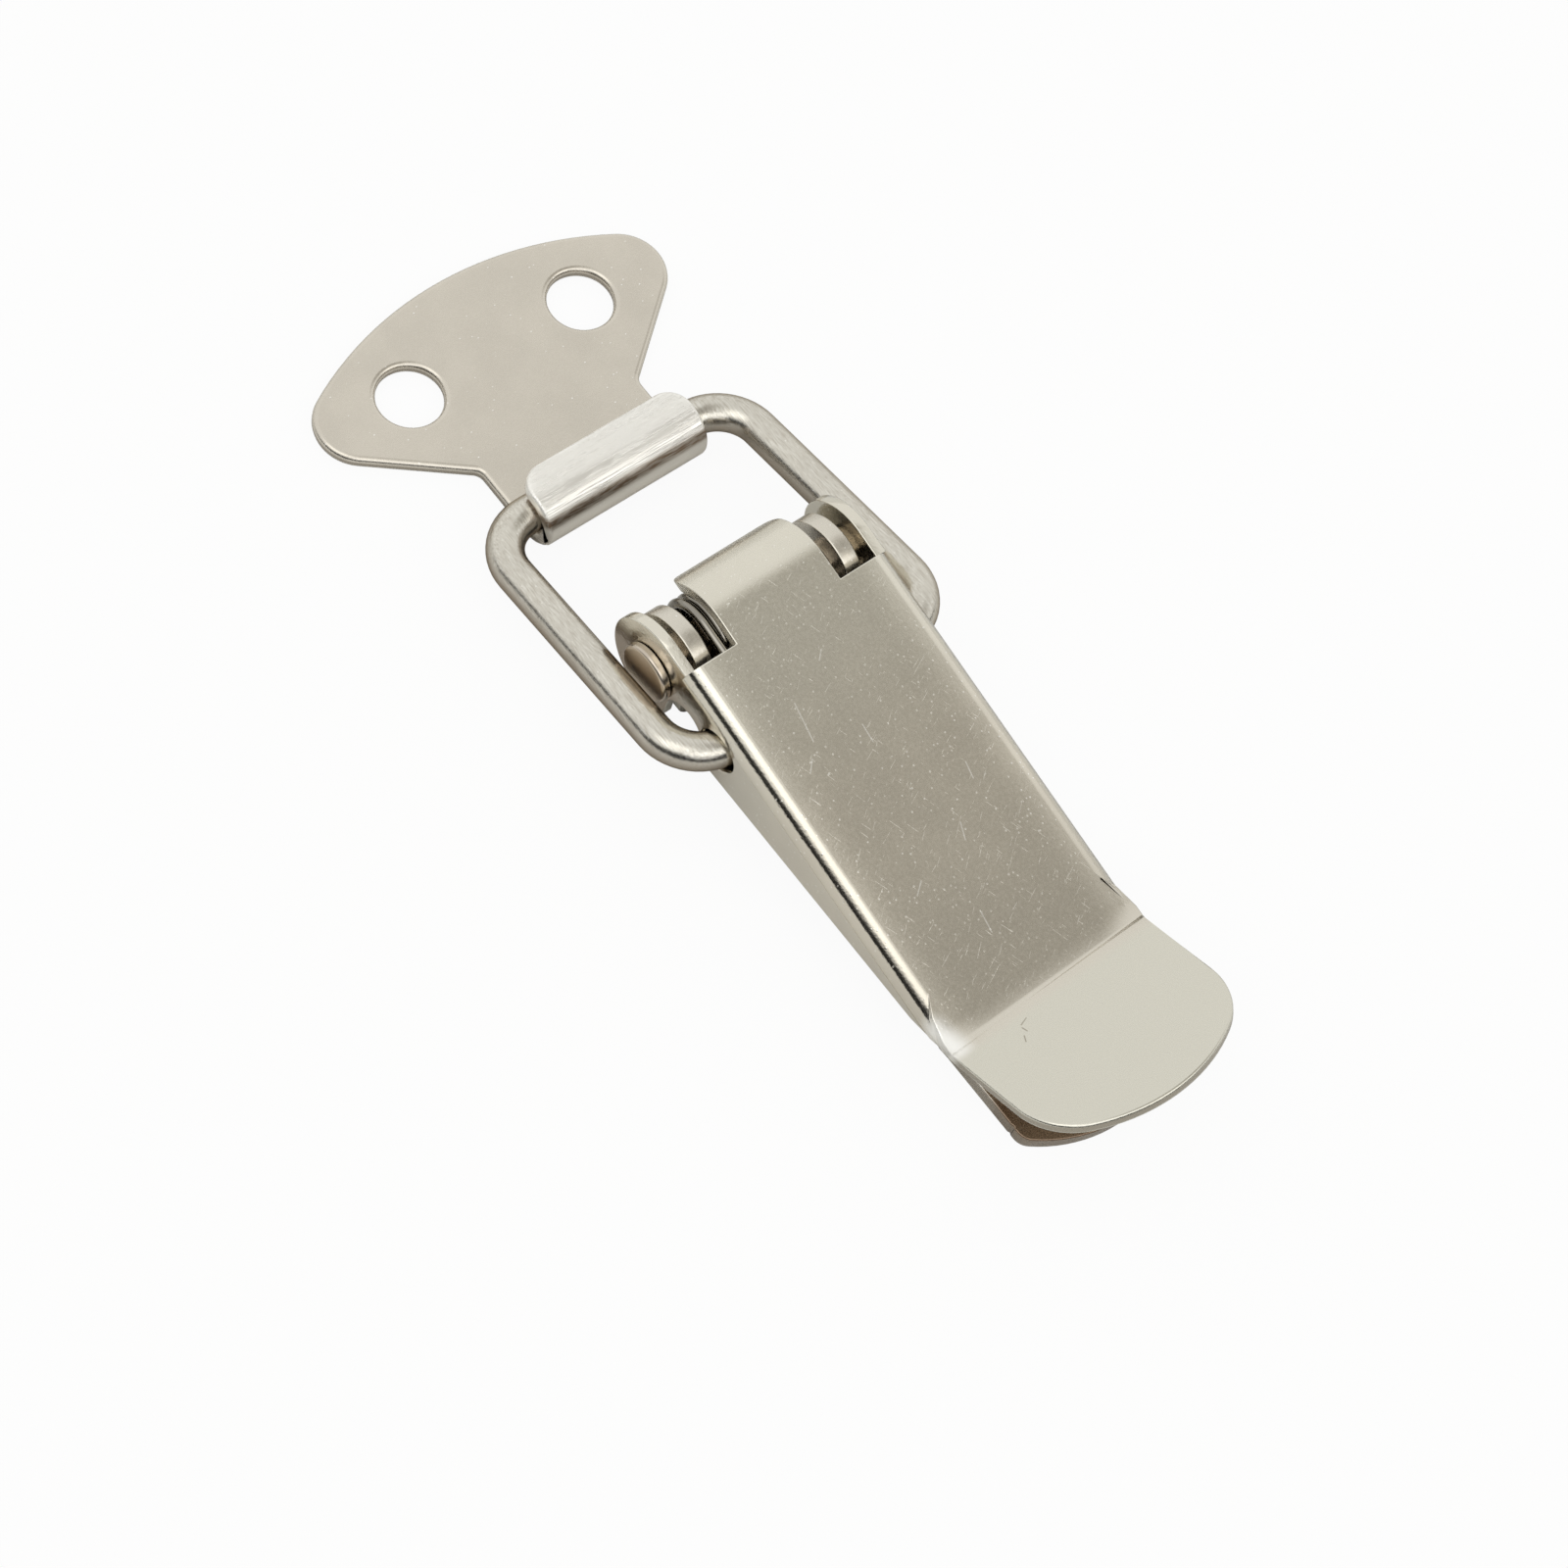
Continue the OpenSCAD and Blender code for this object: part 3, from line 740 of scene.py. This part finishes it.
def joined_copy(node, name):
    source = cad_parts[node]
    obj = bpy.data.objects.new(name, source.data.copy())
    scene.collection.objects.link(obj)
    only(obj)
    bpy.ops.object.mode_set(mode="EDIT")
    bpy.ops.mesh.select_all(action="SELECT")
    bpy.ops.mesh.remove_doubles(threshold=0.012 * MM)
    bpy.ops.mesh.dissolve_limited(angle_limit=math.radians(0.6))
    bpy.ops.object.mode_set(mode="OBJECT")
    return obj


print("loose triangles in the lever:", len(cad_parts["lever"].data.polygons))

# %% [markdown]
# A Bevel modifier rounds the sharp edges, each by its own weight, because a
# punched rim is rounder than a fold. Where many short edges meet in one corner
# a bevel can throw a point far out. So the worst corners are left sharp, and
# points that still stand off are set back on the sheet. Smooth shading with
# face weights then keeps the flat areas flat.

# %% Round the edges
CORNER_REACH = 0.8 * MM


def edge_middle(obj, edge):
    return sum((obj.data.vertices[v].co for v in edge.vertices), Vector()) / 2


def weigh_edges(obj, sharp, leave, weight):
    """Gives every sharp edge its bevel weight, except close to the points in leave."""
    only(obj)
    bpy.ops.object.mode_set(mode="EDIT")
    bpy.ops.mesh.select_mode(type="EDGE")
    bpy.ops.mesh.select_all(action="DESELECT")
    bpy.ops.mesh.edges_select_sharp(sharpness=math.radians(sharp))
    bpy.ops.object.mode_set(mode="OBJECT")
    weights = obj.data.attributes.new("bevel_weight_edge", "FLOAT", "EDGE")
    for edge in obj.data.edges:
        if not edge.select:
            continue
        middle = edge_middle(obj, edge)
        if all((middle - Vector(spot) * MM).length > CORNER_REACH for spot in leave):
            weights.data[edge.index].value = weight(middle)


def set_back(obj, skin, limit):
    for vertex in obj.data.vertices:
        near, _, _, away = skin.find_nearest(vertex.co)
        if away > limit:
            vertex.co = near


def round_edges(obj, width, steps=3, sharp=35.0, leave=(), weight=lambda at: 1.0):
    skin = BVHTree.FromPolygons(
        [v.co for v in obj.data.vertices], [p.vertices for p in obj.data.polygons]
    )
    weigh_edges(obj, sharp, leave, weight)
    bevel = obj.modifiers.new("die roll", "BEVEL")
    bevel.width = width
    bevel.segments = steps
    bevel.limit_method = "WEIGHT"
    bevel.use_clamp_overlap = False
    bevel.loop_slide = False
    only(obj)
    bpy.ops.object.modifier_apply(modifier=bevel.name)
    set_back(obj, skin, 0.45 * width)
    bpy.ops.object.shade_smooth_by_angle(angle=math.radians(32))
    even = obj.modifiers.new("flat faces stay flat", "WEIGHTED_NORMAL")
    even.mode = "FACE_AREA"
    even.weight = 100
    even.keep_sharp = True
    bpy.ops.object.modifier_apply(modifier=even.name)


print("corners left sharp within", CORNER_REACH / MM, "mm")

# %% [markdown]
# The strike plate is the softest pressing: 1 mm sheet with a wide round along
# its rim, and a smaller one on the curl of the hook. The base is hardly
# rounded at all. Each dressed piece rides on its body and takes the place of
# the plain solid.

# %% Strike plate and base
def dressed_node(node, name, body, metal, slot, width, **rounding):
    obj = joined_copy(node, name)
    round_edges(obj, width, **rounding)
    obj.data.materials.clear()
    obj.data.materials.append(metal)
    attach(obj, body)
    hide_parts(node)
    print(name, len(obj.data.polygons), "faces")


dressed_node(
    "strike_plate",
    "strike_plate_sheet",
    "strike",
    satin_plate,
    "pressed_steel",
    0.40 * MM,
    weight=lambda at: 1.0 if at.z < 1.3 * MM else 0.7,
)
dressed_node("base", "base_sheet", "base", satin_base, "pressed_steel", 0.12 * MM)

# %% [markdown]
# The rim of the thumb tab, which the thumb polishes, is rounded most on the
# lever. The corners of the two notches beside the nose, and the two where the
# walls fade into the tab, are left as they were cut. The rivet's head has only
# its burr taken off.

# %% Lever and rivet
notch_corners = [(x, y, z) for x in (-2.4, -3.0) for y in (-7.7, 7.7) for z in (8.4, 8.9)]
tab_corners = [(-28.95, y, 3.3) for y in (-8.0, 8.0)]
dressed_node(
    "lever",
    "lever_sheet",
    "lever",
    satin_lever,
    "pressed_steel",
    0.22 * MM,
    leave=notch_corners + tab_corners,
    weight=lambda at: 1.0 if at.x < -30.2 * MM else 0.45,
)
dressed_node("rivet_pin", "rivet", "base", bright_rivet, "rivet_steel", 0.08 * MM)

# %% [markdown]
# The bail is one wire, bent in a former: a bar under the hook, a bend, a leg
# that spreads a little, and a bend that turns the end in through the lever's
# wall. Its shape follows from where the bar and the holes lie, so these are
# written first, and the bends are worked out from them.

# %% Sizes of the bail
LEVER_SHEET = 0.8 * MM
WIRE_R = 1.25 * MM
BAR = Vector((14.1, 0, 2.33)) * MM
HOLE = Vector((-6.65, 0, 5.45)) * MM
LEG_GAP = 3.55 * MM
SPREAD = 0.5 * MM
BAR_BEND = 3.3 * MM
END_BEND = 3.3 * MM
END_PAST_WALL = 1.0 * MM

bail_length = (HOLE - BAR).length
splay = math.atan(SPREAD / bail_length)
bar_half = LEVER_WIDTH / 2 + LEG_GAP - WIRE_R - SPREAD
end_tip = LEVER_WIDTH / 2 - LEVER_SHEET - END_PAST_WALL
arc_y = bar_half - BAR_BEND * (1 - math.sin(splay)) / math.cos(splay)
end_x = bail_length - END_BEND
end_y = bar_half + end_x * math.tan(splay) - END_BEND / math.cos(splay)
leg_from = Vector((BAR_BEND * (1 - math.sin(splay)), arc_y + BAR_BEND * math.cos(splay), 0))
leg_to = Vector((end_x - END_BEND * math.sin(splay), end_y + END_BEND * math.cos(splay), 0))
print("bail", round(bail_length / MM, 2), "mm long, bar", round(2 * bar_half / MM, 2), "mm")

# %% [markdown]
# It is bent in Blender as in the former: the round section is drawn once, then
# pushed straight and spun round each bend, from the middle of the bar to the
# turned in end. Mirroring gives the other half, so both sides are alike.

# %% Bend the bail
BEND_STEPS = 14


def push(move):
    bpy.ops.mesh.extrude_region_move(TRANSFORM_OT_translate={"value": move})


def bend_round(centre, angle, steps):
    bpy.ops.mesh.spin(steps=steps, angle=angle, center=centre, axis=(0, 0, 1))


bpy.ops.object.select_all(action="DESELECT")
bpy.ops.mesh.primitive_circle_add(
    vertices=40, radius=WIRE_R, location=(0, 0, 0), rotation=(math.radians(90), 0, 0)
)
bail = bpy.context.object
bail.name = "bail_wire"
bpy.ops.object.transform_apply(location=True, rotation=True, scale=True)
bpy.ops.object.mode_set(mode="EDIT")
bpy.ops.mesh.select_all(action="SELECT")
push((0, arc_y, 0))
bend_round((BAR_BEND, arc_y, 0), math.pi / 2 - splay, BEND_STEPS)
push(leg_to - leg_from)
bend_round((end_x, end_y, 0), math.pi / 2 + splay, BEND_STEPS)
push((0, end_tip - end_y, 0))
bpy.ops.mesh.edge_face_add()
bpy.ops.object.mode_set(mode="OBJECT")
mirror = bail.modifiers.new("other half", "MIRROR")
mirror.use_axis = (False, True, False)
mirror.use_clip = True
bpy.ops.object.modifier_apply(modifier=mirror.name)
print("bent wire", len(bail.data.polygons), "faces")

# %% [markdown]
# The finished wire was drawn flat at the origin. It is turned so that it leads
# from the bar up to the holes, and that turn is written into its mesh. The
# turn also mirrors it, so its faces are made to look outwards again, and the
# cut ends get a small round.

# %% Hang the bail
tilt = math.atan2(HOLE.z - BAR.z, BAR.x - HOLE.x)
bail.matrix_world = (
    Matrix.Translation(BAR) @ Matrix.Rotation(tilt, 4, "Y") @ Matrix.Scale(-1, 4, (1, 0, 0))
)
only(bail)
bpy.ops.object.transform_apply(location=True, rotation=True, scale=True)
bpy.ops.object.mode_set(mode="EDIT")
bpy.ops.mesh.select_all(action="SELECT")
bpy.ops.mesh.remove_doubles(threshold=0.001 * MM)
bpy.ops.mesh.normals_make_consistent(inside=False)
bpy.ops.object.mode_set(mode="OBJECT")
round_edges(bail, 0.2 * MM, sharp=50.0)
bail.data.materials.append(bright_wire)
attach(bail, "bail")
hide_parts("bail")
print("bail", [round(a / MM, 2) for a in bail.dimensions])

# %% [markdown]
# The spring is a close coil with two straight legs: one rests on the floor of
# the base, the other presses up under the lever's roof. A leg leaves the coil
# where it touches the circle, so the angles at which the coil starts and ends
# follow from where the legs end.

# %% Sizes of the spring
SPRING_WIRE = 0.7 * MM
COIL_R = 2.65 * MM
TURNS = 11
PITCH = 0.72 * MM
COIL_LEFT = 4.55 * MM
COIL_RIGHT = COIL_LEFT - TURNS * PITCH
PIVOT = Vector((0, 0, 5.55)) * MM
ROOF_OVER_PIVOT = 4.05 * MM
SLOPE = math.radians(10.9)
UNDER_ROOF = ROOF_OVER_PIVOT - LEVER_SHEET - 0.08 * MM - SPRING_WIRE / 2

base_leg = Vector((-8.2 * MM, 0, BASE_SHEET + 0.05 * MM + SPRING_WIRE / 2))
lever_leg = Vector((-9.0 * MM, 0, 0))
lever_leg.z = PIVOT.z + lever_leg.x * math.tan(SLOPE) + UNDER_ROOF / math.cos(SLOPE)


def leaves_coil(point, side):
    dx, dz = point.x, point.z - PIVOT.z
    return math.atan2(dz, dx) - side * math.acos(COIL_R / math.hypot(dx, dz))


start_angle = leaves_coil(base_leg, -1)
end_angle = leaves_coil(lever_leg, 1) + 2 * math.pi * TURNS
print("coil winds", round(math.degrees(end_angle - start_angle)), "degrees")

# %% [markdown]
# A Screw modifier sweeps a small circle round the rivet. It starts the sweep
# at its own zero angle, so the coil is then turned to its start and set in the
# middle of its room.

# %% Wind the coil
STEPS_PER_TURN = 48

bpy.ops.object.select_all(action="DESELECT")
bpy.ops.mesh.primitive_circle_add(vertices=16, radius=SPRING_WIRE / 2, location=(COIL_R, 0, 0))
spring = bpy.context.object
spring.name = "torsion_spring_wire"
bpy.ops.object.transform_apply(location=True, rotation=True, scale=True)
winding = spring.modifiers.new("winding", "SCREW")
winding.axis = "Y"
winding.angle = -(end_angle - start_angle)
winding.screw_offset = COIL_LEFT - COIL_RIGHT
winding.steps = TURNS * STEPS_PER_TURN
winding.render_steps = TURNS * STEPS_PER_TURN
only(spring)
bpy.ops.object.modifier_apply(modifier=winding.name)
low = min(v.co.y for v in spring.data.vertices)
high = max(v.co.y for v in spring.data.vertices)
spring.matrix_world = (
    Matrix.Translation(PIVOT + Vector((0, (COIL_LEFT + COIL_RIGHT - low - high) / 2, 0)))
    @ Matrix.Rotation(-start_angle, 4, "Y")
)
bpy.ops.object.transform_apply(location=True, rotation=True, scale=True)
print("coil", round((high - low) / MM, 2), "mm wide")

# %% [markdown]
# Each end of the coil is an open ring. It is found by its place, and pushed
# straight along the wire to the end of its leg.

# %% Legs of the spring
def open_ring(obj, near):
    """Selects the open ring of the tube whose middle is nearest to a point."""
    bpy.ops.object.mode_set(mode="EDIT")
    bpy.ops.mesh.select_mode(type="EDGE")
    bpy.ops.mesh.select_all(action="DESELECT")
    bpy.ops.mesh.select_non_manifold()
    bpy.ops.object.mode_set(mode="OBJECT")
    for edge in obj.data.edges:
        if edge.select and (edge_middle(obj, edge) - near).length > 1.0 * MM:
            edge.select = False
    for vertex in obj.data.vertices:
        vertex.select = False
    for edge in obj.data.edges:
        if edge.select:
            for v in edge.vertices:
                obj.data.vertices[v].select = True
    bpy.ops.object.mode_set(mode="EDIT")


def on_coil(angle, y):
    return PIVOT + Vector((COIL_R * math.cos(angle), y, COIL_R * math.sin(angle)))


for angle, y, leg in (
    (start_angle, COIL_RIGHT, base_leg),
    (end_angle, COIL_LEFT, lever_leg),
):
    ring = on_coil(angle, y)
    only(spring)
    open_ring(spring, ring)
    push(leg + Vector((0, y, 0)) - ring)
    bpy.ops.mesh.edge_face_add()
    bpy.ops.object.mode_set(mode="OBJECT")
only(spring)
bpy.ops.object.mode_set(mode="EDIT")
bpy.ops.mesh.select_all(action="SELECT")
bpy.ops.mesh.normals_make_consistent(inside=False)
bpy.ops.object.mode_set(mode="OBJECT")
bpy.ops.object.shade_smooth_by_angle(angle=math.radians(50))
spring.data.materials.append(spring_steel_and_shade)
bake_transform(spring)
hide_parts("torsion_spring")
print("spring", len(spring.data.polygons), "faces")

# %% [markdown]
# Last, the view layer is updated.

# %% Update the scene
bpy.context.view_layer.update()
